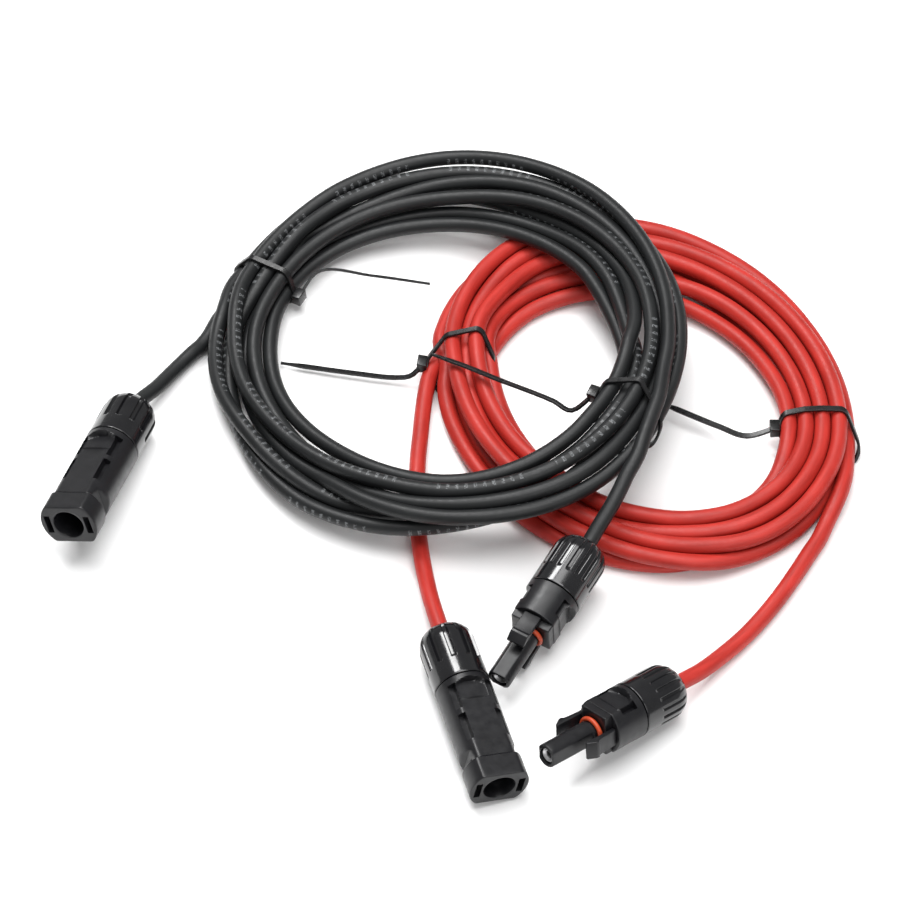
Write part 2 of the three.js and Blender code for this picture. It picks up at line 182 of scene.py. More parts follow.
def ink(tree, coord, base, tint):
    """A faint, worn row of plain ticks that winds slowly round the jacket."""
    split = tree.nodes.new("ShaderNodeSeparateXYZ")
    tree.links.new(coord.outputs["UV"], split.inputs["Vector"])
    x, y = split.outputs["X"], split.outputs["Y"]
    tick = math_node(tree, "FRACT", math_node(tree, "MULTIPLY", x, 330.0), 0)
    mask = math_node(tree, "LESS_THAN", tick, 0.36)
    group = math_node(tree, "FRACT", math_node(tree, "MULTIPLY", x, 24.0), 0)
    mask = math_node(tree, "MULTIPLY", mask, math_node(tree, "LESS_THAN", group, 0.72))
    lay = math_node(tree, "SUBTRACT", y, math_node(tree, "MULTIPLY", x, 0.926))
    turned = math_node(tree, "FRACT", math_node(tree, "ADD", lay, 3.868), 0)
    off = math_node(tree, "ABSOLUTE", math_node(tree, "SUBTRACT", turned, 0.5), 0)
    mask = math_node(tree, "MULTIPLY", mask, math_node(tree, "LESS_THAN", off, 0.07))
    worn = ramp(tree, noise(tree, 1900, 4), [(0.42, (0, 0, 0)), (0.6, (1, 1, 1))])
    mask = math_node(tree, "MULTIPLY", mask, worn)
    mix = tree.nodes.new("ShaderNodeMix")
    mix.data_type = "RGBA"
    tree.links.new(mask, mix.inputs["Factor"])
    tree.links.new(base, mix.inputs["A"])
    mix.inputs["B"].default_value = (*tint, 1)
    return mix.outputs["Result"]


NYLON = moulded("nylon", (0.0045, 0.0045, 0.0055), (0.008, 0.008, 0.0095), (0.30, 0.44))
GLOSS = moulded("gloss_nylon", (0.004, 0.004, 0.005), (0.008, 0.008, 0.009), (0.13, 0.22), 0.2, 0.4)
RING = moulded("ring_rubber", (0.36, 0.04, 0.012), (0.48, 0.06, 0.018), (0.3, 0.45))
SEAL = moulded("seal_rubber", (0.015, 0.015, 0.015), (0.03, 0.03, 0.03), (0.6, 0.8))
TIE = moulded("tie_nylon", (0.004, 0.004, 0.004), (0.009, 0.009, 0.010), (0.22, 0.36), 0.2)
TIN = metal("tin", (0.78, 0.79, 0.82), 0.18)
BRIGHT = metal("bright_tin", (0.62, 0.62, 0.63), 0.35)
COPPER = metal("copper", (0.75, 0.38, 0.2), 0.3)
STEEL = metal("spring_steel", (0.55, 0.55, 0.57), 0.28)
BLACK_JACKET = jacket(
    "jacket_black", (0.006, 0.0065, 0.007), (0.011, 0.012, 0.0125), (0.40, 0.52),
    (0.13, 0.135, 0.14),
)
RED_JACKET = jacket("jacket_red", (0.30, 0.014, 0.009), (0.46, 0.028, 0.020), (0.40, 0.55), None)
SLOT_MATERIAL = {
    "nylon": NYLON, "gloss_nylon": GLOSS, "ring_rubber": RING, "seal_rubber": SEAL,
    "tie_nylon": TIE, "tin": TIN, "copper": COPPER, "spring_steel": STEEL,
    "jacket_black": BLACK_JACKET, "jacket_red": RED_JACKET,
}
SLOT_OF = {s["node"]: s["material_slot"] for s in record["subparts"]}
BODY_OF = {n: b for b, names in record["behaviour"]["bodies"].items() for n in names}


# ---------------------------------------------------------------- mesh helpers
def add_piece(name, verts, faces, mat, node, smooth=35):
    """A mesh in metres in the row frame that rides with, and stands for, a CAD node."""
    mesh = bpy.data.meshes.new(name)
    mesh.from_pydata(np.asarray(verts).tolist(), [], faces)
    mesh.validate()
    obj = bpy.data.objects.new(name, mesh)
    scene.collection.objects.link(obj)
    return finish_piece(obj, mat, node, smooth)


def finish_piece(obj, mat, node, smooth=35):
    mesh = obj.data
    bm = bmesh.new()
    bm.from_mesh(mesh)
    bmesh.ops.recalc_face_normals(bm, faces=bm.faces)
    bm.to_mesh(mesh)
    bm.free()
    mesh.materials.clear()
    mesh.materials.append(mat)
    mesh.set_sharp_from_angle(angle=math.radians(smooth))
    for poly in mesh.polygons:
        poly.use_smooth = True
    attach(obj, BODY_OF[node])
    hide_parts(node)
    return obj


def closed_grid(rings, wrap):
    """Rings of equal length to verts and quads. wrap joins the last ring to the first."""
    count, sides = len(rings), len(rings[0])
    verts = np.concatenate(rings)
    faces = []
    for i in range(count if wrap else count - 1):
        a, b = i * sides, ((i + 1) % count) * sides
        for j in range(sides):
            k = (j + 1) % sides
            faces.append((a + j, a + k, b + k, b + j))
    return verts, faces


def apply_modifiers(obj):
    graph = bpy.context.evaluated_depsgraph_get()
    mesh = bpy.data.meshes.new_from_object(obj.evaluated_get(graph))
    obj.modifiers.clear()
    old = obj.data
    obj.data = mesh
    bpy.data.meshes.remove(old)


# ---------------------------------------------------------------- cables
def through(points, step):
    """A smooth curve through points, resampled every step."""
    p = np.asarray(points, float)
    p = np.vstack([2 * p[0] - p[1], p, 2 * p[-1] - p[-2]])
    knots = np.concatenate([[0], np.cumsum(np.sqrt(np.linalg.norm(np.diff(p, axis=0), axis=1)))])
    fine = []
    for i in range(1, len(p) - 2):
        t0, t1, t2, t3 = knots[i - 1 : i + 3]
        t = np.linspace(t1, t2, 12, endpoint=False)[:, None]
        a1 = (t1 - t) / (t1 - t0) * p[i - 1] + (t - t0) / (t1 - t0) * p[i]
        a2 = (t2 - t) / (t2 - t1) * p[i] + (t - t1) / (t2 - t1) * p[i + 1]
        a3 = (t3 - t) / (t3 - t2) * p[i + 1] + (t - t2) / (t3 - t2) * p[i + 2]
        b1 = (t2 - t) / (t2 - t0) * a1 + (t - t0) / (t2 - t0) * a2
        b2 = (t3 - t) / (t3 - t1) * a2 + (t - t1) / (t3 - t1) * a3
        fine.append((t2 - t) / (t2 - t1) * b1 + (t - t1) / (t2 - t1) * b2)
    fine = np.vstack(fine + [p[-2][None]])
    along = np.concatenate([[0], np.cumsum(np.linalg.norm(np.diff(fine, axis=0), axis=1))])
    at = np.linspace(0, along[-1], max(2, int(along[-1] / step)))
    return np.stack([np.interp(at, along, fine[:, k]) for k in range(3)], 1)


def carried_frames(path, start):
    """Two directions across the path at each point, carried along it without twist."""
    tangents = np.gradient(path, axis=0)
    tangents /= np.linalg.norm(tangents, axis=1)[:, None]
    side = np.asarray(start, float)
    sides = []
    for t in tangents:
        side = side - t * (side @ t)
        side = side / np.linalg.norm(side)
        sides.append(side)
    sides = np.array(sides)
    return tangents, sides, np.cross(tangents, sides)


class Coil:
    """A tied bundle of turns: an oval ring in a tilted plane, clockwise from above."""

    def __init__(self, x, y, z, rx, ry, turn, slope, heading, gap):
        self.centre = np.array([x, y, z])
        self.rx, self.ry, self.turn, self.gap = rx, ry, math.radians(turn), gap
        h, s = math.radians(heading), math.radians(slope)
        axis = Vector((math.sin(h), -math.cos(h), 0))
        self.tilt = np.array(Matrix.Rotation(s, 3, axis))

    def cross(self, angle):
        """Middle of the bundle, outward, up and along directions at an angle in degrees."""
        t = math.radians(angle) - self.turn
        along = np.array([-self.rx * math.sin(t), self.ry * math.cos(t), 0])
        along /= np.linalg.norm(along)
        out = np.array([along[1], -along[0], 0])
        c, s = math.cos(self.turn), math.sin(self.turn)
        spin = np.array([[c, -s, 0], [s, c, 0], [0, 0, 1]])
        middle = np.array([self.rx * math.cos(t), self.ry * math.sin(t), 0])
        m = self.tilt @ spin
        return self.centre + m @ middle, m @ out, self.tilt @ np.array([0, 0, 1.0]), -(m @ along)

    def place(self, angle, u, v, base):
        middle, out, up, _ = self.cross(angle)
        return middle + out * (u * self.gap) + up * (base + v * self.gap)


EASING_ROUNDS = 260


def lay_turns(stations, start, end, turns, per_turn=48):
    """Offsets (u, v) of every pass in the bundle, from the stations, then eased apart."""
    total, us, vs = [], [], []
    for k in range(turns + 1):
        for angle, slots in stations:
            if k < len(slots):
                total.append(360.0 * k - angle)
                us.append(slots[k][0])
                vs.append(slots[k][1])
    order = np.argsort(total)
    total, us, vs = (np.array(a)[order] for a in (total, us, vs))
    at = np.arange(-start, 360.0 * turns - end + 1e-6, 360.0 / per_turn)
    uv = np.stack([ease(at, total, us), ease(at, total, vs)], 1)
    rest = uv.copy()
    wave = 0.07 * np.sin(at * 0.0231 + 1.0) + 0.05 * np.sin(at * 0.0417)
    uv[:, 0] += wave
    for _ in range(EASING_ROUNDS):
        push = np.zeros_like(uv)
        for m in range(1, turns + 1):
            shift = m * per_turn
            if shift >= len(uv):
                break
            gap = uv[shift:] - uv[:-shift]
            far = np.linalg.norm(gap, axis=1)
            over = np.clip(1.0 - far, 0, None)[:, None] * gap / np.maximum(far, 1e-6)[:, None]
            push[shift:] += 0.5 * over
            push[:-shift] -= 0.5 * over
        uv += 0.8 * push
        smooth = uv.copy()
        smooth[1:-1] = 0.5 * uv[1:-1] + 0.25 * (uv[:-2] + uv[2:])
        uv = 0.92 * uv + 0.08 * smooth + 0.03 * (rest - uv)
        uv[:, 1] = np.maximum(uv[:, 1], np.minimum(0.0, rest[:, 1]))
        uv[:3], uv[-3:] = rest[:3], rest[-3:]
    return at, uv


def ease(at, xs, ys):
    """Smooth interpolation with flat-limited slopes, so that it doesn't overshoot."""
    slope = np.gradient(ys, xs)
    step = np.diff(ys) / np.diff(xs)
    for i in range(1, len(xs) - 1):
        if step[i - 1] * step[i] <= 0:
            slope[i] = 0
        else:
            slope[i] = 2 * step[i - 1] * step[i] / (step[i - 1] + step[i])
    slope[0] = slope[-1] = 0
    i = np.clip(np.searchsorted(xs, at) - 1, 0, len(xs) - 2)
    h = xs[i + 1] - xs[i]
    t = np.clip((at - xs[i]) / h, 0, 1)
    return (
        (2 * t**3 - 3 * t**2 + 1) * ys[i] + (t**3 - 2 * t**2 + t) * h * slope[i]
        + (3 * t**2 - 2 * t**3) * ys[i + 1] + (t**3 - t**2) * h * slope[i + 1]
    )


BLACK = Coil(-1.7, 34.3, 16.3, 69.0, 69.0, 0, 6.8, -10.3, 5.2)
RED = Coil(64.5, 18.0, 7.1, 66.5, 54.0, 131, 0, 0, 5.6)
BLACK_BASE = -2.4
RED_BASE = -2.75

# Where each pass runs in the bundle at some angles: (outward, up), in cable spacings.
BLACK_STATIONS = [
    (172, [(2.6, -0.6), (1.85, 0.1), (-1.75, 0.1), (0.85, -0.1), (-0.2, -0.15), (-0.75, 0.7),
           (0.5, 0.9)]),
    (152, [(0.7, -0.15), (1.8, -0.05), (-1.35, -0.2), (0, 0.8), (-0.3, -0.2), (-1.0, 0.75),
           (1.1, 0.8)]),
    (130, [(-0.4, -0.65), (2.15, -0.15), (-1.6, -0.4), (0.45, 0.75), (0.4, -0.2), (-1.0, 0.6),
           (1.45, 0.75)]),
    (110, [(-1.3, -0.6), (1.5, -0.3), (-2.4, -0.3), (0.7, 0.45), (-0.1, 0.1), (-1.2, 0.6),
           (2.0, 0.6)]),
    (90, [(-1.6, -0.65), (0.1, -0.65), (-2.75, -0.45), (1.13, 0.3), (0.1, 0.35), (-1.3, 0.5),
          (2.4, 0.45)]),
    (60, [(-2.0, -0.5), (-1.0, -0.4), (-3.1, -0.2), (1.25, -0.05), (0.3, 0.75), (-0.8, 0.7),
          (1.85, 0.75)]),
    (30, [(-1.78, 0.1), (-0.75, -0.2), (-2.75, -0.1), (1.6, -0.15), (0.55, 0.2), (-0.3, 0.75),
          (1.35, 0.85)]),
    (5, [(-1.7, -0.15), (-0.95, 0.5), (-2.2, -1.0), (1.85, -0.1), (0.7, -0.15), (0, 0.85),
         (1.15, 0.75)]),
    (-20, [(-0.45, 0.05), (-1.35, 0.5), (-0.95, -0.85), (1.9, -0.1), (0.75, -0.1), (0.3, 0.85),
           (1.35, 0.8)]),
    (-50, [(-0.7, -0.1), (-1.35, 0.5), (0.45, -0.4), (2.15, -0.1), (1.5, 0.6), (0.2, 0.85)]),
    (-85, [(-0.2, -0.2), (-1.6, 0.3), (1.25, -0.2), (1.6, 0.75), (0.55, 0.8), (-0.45, 0.85)]),
    (-110, [(0.25, -0.6), (-2.1, 0.5), (1.5, -0.5), (0.64, 0.9), (-0.4, 0.3), (-0.95, 0.8)]),
    (-130, [(0.95, 0.2), (-2.55, 0.1), (1.6, -0.3), (-0.25, 0.1), (-1.25, 0), (-0.95, 0.9)]),
    (-150, [(0.95, 0.8), (-2.3, 0), (1.3, -0.15), (-0.25, -0.1), (-1.25, 0.05), (-0.67, 0.85)]),
    (-168, [(1.5, 0.6), (-1.95, -0.05), (0.95, -0.25), (-0.1, -0.3), (-1.0, 0.4), (0, 0.85)]),
]
RED_STATIONS = [
    (178, [(2.3, -0.1), (1.3, -0.2), (0.3, -0.28), (-0.7, -0.28), (-1.65, 0.2), (-0.8, 1.3),
           (-0.2, 0.6), (0.45, 1.3)]),
    (163, [(0.7, -0.28), (1.6, 0.25), (-0.45, -0.28), (-1.5, -0.28), (-1.1, 0.65), (-0.5, 1.45),
           (0, 0.58), (0.85, 1.0)]),
    (140, [(0.75, -0.28), (1.65, 0), (-0.25, -0.28), (-2.15, -0.28), (-1.3, 0.1), (-0.7, 1.0),
           (0.25, 0.6), (1.25, 1.0)]),
    (115, [(0.45, -0.28), (1.5, -0.2), (-0.6, -0.28), (-2.6, -0.2), (-1.57, 0.1), (-0.1, 0.65),
           (0.9, 0.65), (1.95, 0.75)]),
    (85, [(0.55, -0.28), (1.6, -0.25), (-0.5, -0.28), (-2.6, -0.1), (-1.5, 0.05), (0.05, 0.65),
          (1.05, 0.6), (2.1, 0.6)]),
    (60, [(0.1, -0.28), (1.1, -0.28), (-0.85, -0.28), (-2.3, -0.1), (-1.3, 0.55), (-0.05, 0.75),
          (1.0, 0.75), (2.05, 0.2)]),
    (20, [(-0.45, -0.28), (0.5, -0.2), (-1.3, -0.28), (-2.1, 0.3), (-1.15, 0.75), (-0.1, 0.85),
          (0.98, 0.85), (1.55, -0.1)]),
    (-8, [(-0.6, -0.28), (0.4, -0.28), (-1.55, -0.2), (-2.0, 0.7), (-1.05, 0.75), (-0.05, 0.75),
          (0.95, 0.7), (1.4, -0.2)]),
    (-34, [(-0.05, -0.28), (0.95, -0.28), (-1.05, -0.28), (-1.95, 0.1), (-1.35, 0.8), (-0.33, 0.8),
           (0.7, 0.8), (1.85, 0.1)]),
    (-60, [(0, -0.28), (1.05, -0.25), (-1.0, -0.28), (-1.95, -0.25), (-1.6, 0.65), (-0.43, 0.8),
           (0.72, 0.8)]),
    (-90, [(1.15, -0.28), (1.35, 0.65), (-0.05, -0.28), (-1.15, -0.28), (-1.6, 0.6), (-0.6, 0.45),
           (0.35, 0.8)]),
    (-115, [(1.35, -0.28), (0.95, 0.55), (0.25, -0.28), (-1.7, -0.28), (-1.35, 0.7), (-0.7, 0),
            (-0.05, 0.8)]),
    (-150, [(1.3, -0.1), (0.35, -0.28), (-0.65, -0.28), (-1.75, -0.1), (-1.05, 1.0), (-0.15, 0.58),
            (0.3, 1.3)]),
]

SHELL_L, PROBE_L, NUT_L = 60.5, 56.5, 21.0
POSES = {
    "black_shell": dict(at=(-105.3, 11.5, 7.93), heading=-107.9, pitch=11, roll=18, rear=0),
    "black_probe": dict(at=(44.1, -50.8, 15.0), heading=-120.6, pitch=-5.2, roll=90, rear=0),
    "red_shell": dict(at=(-2.2, -81.5, 9.18), heading=-73.0, pitch=0, roll=-11, rear=-0.8),
    "red_probe": dict(at=(72.5, -99.3, 8.0), heading=-140.5, pitch=12, roll=18, rear=1.8),
}


def stand(pose):
    """Matrix from a connector's own millimetres to the table's millimetres."""
    p, h, r = (math.radians(pose[k]) for k in ("pitch", "heading", "roll"))
    forward = Vector((math.cos(p) * math.cos(h), math.cos(p) * math.sin(h), math.sin(p)))
    side = Vector((0, 0, 1)).cross(forward).normalized()
    up = forward.cross(side)
    turn = Matrix((side, up, forward)).transposed().to_4x4()
    return Matrix.Translation(pose["at"]) @ turn @ Matrix.Rotation(r, 4, "Z")


STAND = {name: np.array(stand(pose)) for name, pose in POSES.items()}


def on_axis(name, z):
    return (STAND[name] @ np.array([0, 0, z, 1]))[:3]


# Route points of the leads in and out of each coil, in mm on the table.
BLACK_IN = [(-98.3, 22.4, 5.2), (-95.1, 27.4, 4.2), (-90.6, 34.0, 3.3), (-86.1, 39.8, 3.1)]
BLACK_OUT = [
    (68.6, 1.2, 27.6), (66.7, -4.7, 27.4), (63.8, -13.5, 26.8), (61.1, -21.7, 25.6),
    (57.8, -27.7, 24.0), (54.9, -33.5, 22.0), (51.7, -39.1, 19.8), (48.0, -44.6, 17.4),
]
RED_IN = [
    (-6.1, -66.3, 7.5), (-8.1, -54.7, 5.0), (-9.6, -43.5, 3.4), (-10.8, -31.1, 3.0),
    (-11.2, -20.9, 3.0), (-10.8, -10.1, 3.0), (-10.2, -0.1, 3.0),
]
RED_OUT = [
    (123.2, -33.5, 3.2), (120.9, -38.8, 3.0), (117.8, -44.0, 3.0), (114.2, -50.2, 3.0),
    (105.8, -63.6, 3.0), (95.8, -76.7, 3.1), (86.0, -87.2, 4.4), (79.8, -93.4, 6.0),
]


def cable_route(coil, base, stations, start, end, turns, lead_in, lead_out, first, last,
                cable_radius):
    at, uv = lay_turns(stations, start, end, turns)
    inside = [on_axis(first, z) for z in (19.4, 9.0, 1.0, -2.8)]
    turnings = [coil.place(-a, u, v, base) for a, (u, v) in zip(at, uv)]
    outside = [on_axis(last, z) for z in (-1.0, 9.0, 19.4)]
    path = through([*inside, *lead_in, *turnings, *lead_out, *outside], 2.2)
    path[:, 2] = np.maximum(path[:, 2], cable_radius)  # rests on the table, never under it
    return at, uv, path


def make_cable(name, path, diameter, mat, nodes):
    sides = 20
    radius = diameter / 2
    _, right, up = carried_frames(path, (0, 0, 1))
    ring = 2 * math.pi * (np.arange(sides) + 0.5) / sides
    rings = [
        p + radius * (np.cos(ring)[:, None] * a + np.sin(ring)[:, None] * b)
        for p, a, b in zip(path, right, up)
    ]
    verts, faces = closed_grid(rings, False)
    faces.append(tuple(range(sides))[::-1])
    faces.append(tuple(range(len(verts) - sides, len(verts))))
    obj = add_piece(name, row(verts), faces, mat, nodes[0], 60)
    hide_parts(*nodes)
    along = np.concatenate([[0], np.cumsum(np.linalg.norm(np.diff(path, axis=0), axis=1))])
    layer = obj.data.uv_layers.new(name="along")
    for poly in obj.data.polygons:
        vs = poly.vertices
        wrap = max(v % sides for v in vs) == sides - 1 and min(v % sides for v in vs) == 0
        for loop, v in zip(poly.loop_indices, vs):
            j = v % sides
            y = 1.0 if wrap and j == 0 and len(vs) == 4 else j / sides
            layer.data[loop].uv = (along[v // sides] * MM, y)
    return obj


black_at, black_uv, black_path = cable_route(
    BLACK, BLACK_BASE, BLACK_STATIONS, 172, -20, 6, BLACK_IN, BLACK_OUT,
    "black_shell", "black_probe", BLACK_D / 2,
)
red_at, red_uv, red_path = cable_route(
    RED, RED_BASE, RED_STATIONS, 173, -34, 7, RED_IN, RED_OUT, "red_shell", "red_probe",
    RED_D / 2,
)
for path in (black_path, red_path):
    print("cable length", round(float(np.linalg.norm(np.diff(path, axis=0), axis=1).sum()), 1))
make_cable(
    "black_cable", black_path, BLACK_D, BLACK_JACKET,
    ["black_cable_coil", "black_cable_lead_shell", "black_cable_lead_probe"],
)
make_cable(
    "red_cable", red_path, RED_D, RED_JACKET,
    ["red_cable_coil", "red_cable_lead_shell", "red_cable_lead_probe"],
)


# ---------------------------------------------------------------- connectors
def to_row(name, local):
    local = np.asarray(local, float)
    m = STAND[name]
    return row(local @ m[:3, :3].T + m[:3, 3])


SIDES = 144
THETA = 2 * math.pi * np.arange(SIDES) / SIDES


def soft_min(*limits, power=60.0):
    limits = np.array(np.broadcast_arrays(*limits), float)
    return (limits**-power).sum(0) ** (-1 / power)


def ring_at(radius, z, theta=THETA):
    radius = np.broadcast_to(radius, theta.shape)
    z = np.broadcast_to(z, theta.shape)
    return np.stack([radius * np.cos(theta), radius * np.sin(theta), z], 1)


def flat_limit(theta, x=None, y=None):
    """Radius at which a ray meets the planes |x| or |y| = limit."""
    if x is not None:
        return x / np.maximum(np.abs(np.cos(theta)), 1e-4)
    return y / np.maximum(np.abs(np.sin(theta)), 1e-4)


def fillet(radius, z0, f, theta=THETA, steps=4, sign=1):
    """Rings that round an outer edge of radius f ending at z0."""
    rings = []
    for a in np.linspace(0, math.pi / 2, steps):
        inward, back = f * (1 - math.cos(a)), sign * f * (1 - math.sin(a))
        rings.append(ring_at(radius - inward, z0 - back, theta))
    return rings


def step01(x, edge, width):
    t = np.clip((x - edge) / width + 0.5, 0, 1)
    return t * t * (3 - 2 * t)


def cap_nut(name, grooves, width, depth, front):
    rear = POSES[name]["rear"]
    per = 24 if grooves == 12 else 16
    theta = 2 * math.pi * np.arange(grooves * per) / (grooves * per)
    phase = np.abs(((theta * grooves / (2 * math.pi)) % 1) - 0.5) * 2 * math.pi * 9.2 / grooves
    groove = 1 - step01(phase, width / 2, 0.32)
    zs = np.array([0, 0.05, 0.4, 1.1, 2.0, 2.9, 4.0, 5.4])
    rs = np.array([5.5, 5.9, 6.7, 7.5, 8.15, 8.6, 9.0, 9.2])
    rings = [ring_at(3.9, rear + 1.4, theta), ring_at(3.9, rear + 0.3, theta),
             ring_at(4.2, rear + 0.02, theta)]
    levels = np.concatenate([zs + rear, np.linspace(rear + 6, front - 0.9, 12),
                             front + np.linspace(-0.6, 1.0, 8), np.linspace(front + 1.6, 20.2, 5)])
    for z in levels:
        base = np.interp(z - rear, zs, rs)
        cut = depth * groove * step01(z, rear + 1.6, 1.6) * (1 - step01(z, front, 1.3))
        rings.append(ring_at(base - cut, z, theta))
    rings += fillet(np.full(theta.shape, 9.2), NUT_L, 0.35, theta)
    rings += [ring_at(7.35, NUT_L, theta), ring_at(7.35, 14.0, theta), ring_at(7.35, 7.2, theta),
              ring_at(6.6, 7.0, theta), ring_at(3.95, 2.05, theta)]
    verts, faces = closed_grid(rings, True)
    add_piece(name + "_nut_body", to_row(name, verts), faces, GLOSS, name + "_cap_nut", 50)


def spigot(theta):
    rings = [ring_at(5.2, 17.5, theta), ring_at(5.2, 8.8, theta), ring_at(6.4, 8.8, theta)]
    for z in np.arange(9.2, 20.2, 0.4):
        turn = (z / 2.0 - theta / (2 * math.pi)) % 1
        crest = 0.25 * (0.5 + 0.5 * np.cos(2 * math.pi * turn))
        threaded = step01(z, 9.6, 0.6) * (1 - step01(z, 19.6, 0.6))
        rings.append(ring_at(6.75 + crest * threaded, z, theta))
    return rings + [ring_at(6.7, 21.2, theta), ring_at(8.6, 21.3, theta)]


def pad_drop(z, x, back=23.2):
    """0 to 1 inside the round-ended label pad at height z and offset x."""
    half = 5.4
    round_end = np.sqrt(np.clip(1 - (np.clip(x / half, -1, 1)) ** 2, 0, 1)) * 3.2
    edge = back + 3.2 - round_end
    return step01(z, edge, 0.35) * (1 - step01(np.abs(x), half, 0.3))


def barrel(z, radius=9.15, flats=30.0):
    """Radius round the barrel at z: round at the back, flat on the two panels."""
    full = np.full(THETA.shape, radius)
    level = soft_min(full, flat_limit(THETA, y=7.2))
    x = level * np.cos(THETA)
    pad = soft_min(full, flat_limit(THETA, y=6.9))
    t = pad_drop(z, x) * (1 - step01(z, flats, 0.4))
    after = step01(z, flats, 0.4)
    return full * (1 - np.maximum(t, after)) + pad * t + level * after * (1 - t)


def shell_outline(z):
    r = barrel(z)
    cut = np.interp(z, [46.6, 47.6, 48.6, 51.4, 52.4], [9.4, 8.8, 7.3, 6.8, 6.8])
    if 46.6 < z < 52.5:
        r = soft_min(r, flat_limit(THETA, x=cut), power=50)
    if z >= 52.5:
        r = soft_min(np.full(THETA.shape, 9.8), flat_limit(THETA, y=7.2))
    return r


def cutter(name, corner_low, corner_high):
    """A box in a connector's own millimetres, for cutting slots."""
    (x0, y0, z0), (x1, y1, z1) = corner_low, corner_high
    verts = [(x, y, z) for x in (x0, x1) for y in (y0, y1) for z in (z0, z1)]
    faces = [(0, 1, 3, 2), (4, 6, 7, 5), (0, 4, 5, 1), (2, 3, 7, 6), (0, 2, 6, 4), (1, 5, 7, 3)]
    mesh = bpy.data.meshes.new("cutter")
    mesh.from_pydata(to_row(name, verts).tolist(), [], faces)
    bm = bmesh.new()
    bm.from_mesh(mesh)
    bmesh.ops.recalc_face_normals(bm, faces=bm.faces)
    bm.to_mesh(mesh)
    bm.free()
    obj = bpy.data.objects.new("cutter", mesh)
    scene.collection.objects.link(obj)
    return obj


def cut_slots(obj, name, boxes):
    tools = [cutter(name, low, high) for low, high in boxes]
    for tool in tools:
        mod = obj.modifiers.new("slot", "BOOLEAN")
        mod.operation = "DIFFERENCE"
        mod.solver = "EXACT"
        mod.object = tool
    apply_modifiers(obj)
    for tool in tools:
        bpy.data.objects.remove(tool)


def plain_mesh(name, verts, faces):
    mesh = bpy.data.meshes.new(name)
    mesh.from_pydata(np.asarray(verts).tolist(), [], faces)
    obj = bpy.data.objects.new(name, mesh)
    scene.collection.objects.link(obj)
    bm = bmesh.new()
    bm.from_mesh(mesh)
    bmesh.ops.recalc_face_normals(bm, faces=bm.faces)
    bm.to_mesh(mesh)
    bm.free()
    return obj


def edge_slots(spans):
    boxes = []
    for back, front in spans:
        for x in (4.9, -7.1):
            boxes.append(((x, 4.9, back), (x + 2.2, 12, front)))
            boxes.append(((x, -12, back), (x + 2.2, -4.9, front)))
    return boxes


def shell_housing(name):
    levels = np.concatenate([
        np.arange(21.7, 31.0, 0.3), np.arange(31.0, 45.0, 1.4), np.arange(45.4, 49.4, 0.4),
        [50.5, 51.4, 52.2, 52.4],
    ])
    rings = spigot(THETA)
    rings += [ring_at(9.0, 21.35), ring_at(9.15, 21.5)]
    rings += [ring_at(shell_outline(z), z) for z in levels]
    rings += [ring_at(shell_outline(53.3) - 0.2, 52.5), ring_at(shell_outline(53.3), 52.75)]
    rings += [ring_at(shell_outline(z), z) for z in (54.5, 56.0, 57.5, 59.0)]
    rings += fillet(shell_outline(59.5), SHELL_L, 0.4)
    edge = shell_outline(59.5) - 0.4
    rings += [ring_at(edge + (5.5 - edge) * t, SHELL_L) for t in (0.2, 0.5, 0.8, 1.0)]
    rings += [ring_at(5.3, SHELL_L - 0.1), ring_at(5.2, SHELL_L - 0.3)]
    rings += [ring_at(5.2, z) for z in (56, 50, 43, 37)]
    rings += [ring_at(4.9, 36.5), ring_at(2.35, 36.5), ring_at(2.35, 31.9), ring_at(3.9, 31.9),
              ring_at(3.9, 24.0), ring_at(3.9, 17.5)]
    verts, faces = closed_grid(rings, True)
    obj = plain_mesh(name + "_shell", to_row(name, verts), faces)
    slots = edge_slots([(23.8, 33.2), (35.2, 45.2)])
    for x in (6.05, -8.15):
        slots.append(((x, -3.4, 50.4), (x + 2.1, 3.4, 62)))
    cut_slots(obj, name, slots)
    finish_piece(obj, NYLON, name + "_housing", 32)


def probe_housing(name):
    rings = spigot(THETA)
    rings += [ring_at(9.0, 21.35), ring_at(9.15, 21.5)]
    rings += [ring_at(barrel(z), z) for z in np.arange(21.7, 33.2, 0.3)]
    rings += fillet(barrel(33.3), 33.6, 0.3)
    block = soft_min(barrel(33.3) - 0.3, flat_limit(THETA, x=5.6))
    rings += [ring_at(block, 33.62), ring_at(block, 34.4), ring_at(block, 35.6)]
    rings += fillet(block, 36.2, 0.3)
    rings += [ring_at(np.minimum(block - 0.3, 6.0), 36.2), ring_at(3.6, 36.2), ring_at(3.5, 36.4),
              ring_at(3.5, 38.2), ring_at(3.6, 38.35), ring_at(3.95, 38.45)]
    tube = soft_min(np.full(THETA.shape, 3.95), flat_limit(THETA, x=3.3))
    rings += [ring_at(3.95, 39.1), ring_at(tube, 39.25)]
    rings += [ring_at(tube, z) for z in (42, 46, 50, 54)]
    rings += fillet(tube, PROBE_L, 0.45)
    rings += [ring_at(2.95, PROBE_L), ring_at(2.75, PROBE_L - 0.2), ring_at(2.75, 50.0),
              ring_at(2.75, 42.0), ring_at(2.75, 31.9), ring_at(3.9, 31.9), ring_at(3.9, 24.0),
              ring_at(3.9, 17.5)]
    verts, faces = closed_grid(rings, True)
    obj = plain_mesh(name + "_barrel", to_row(name, verts), faces)
    cut_slots(obj, name, edge_slots([(23.8, 29.8)]))
    finish_piece(obj, NYLON, name + "_housing", 32)


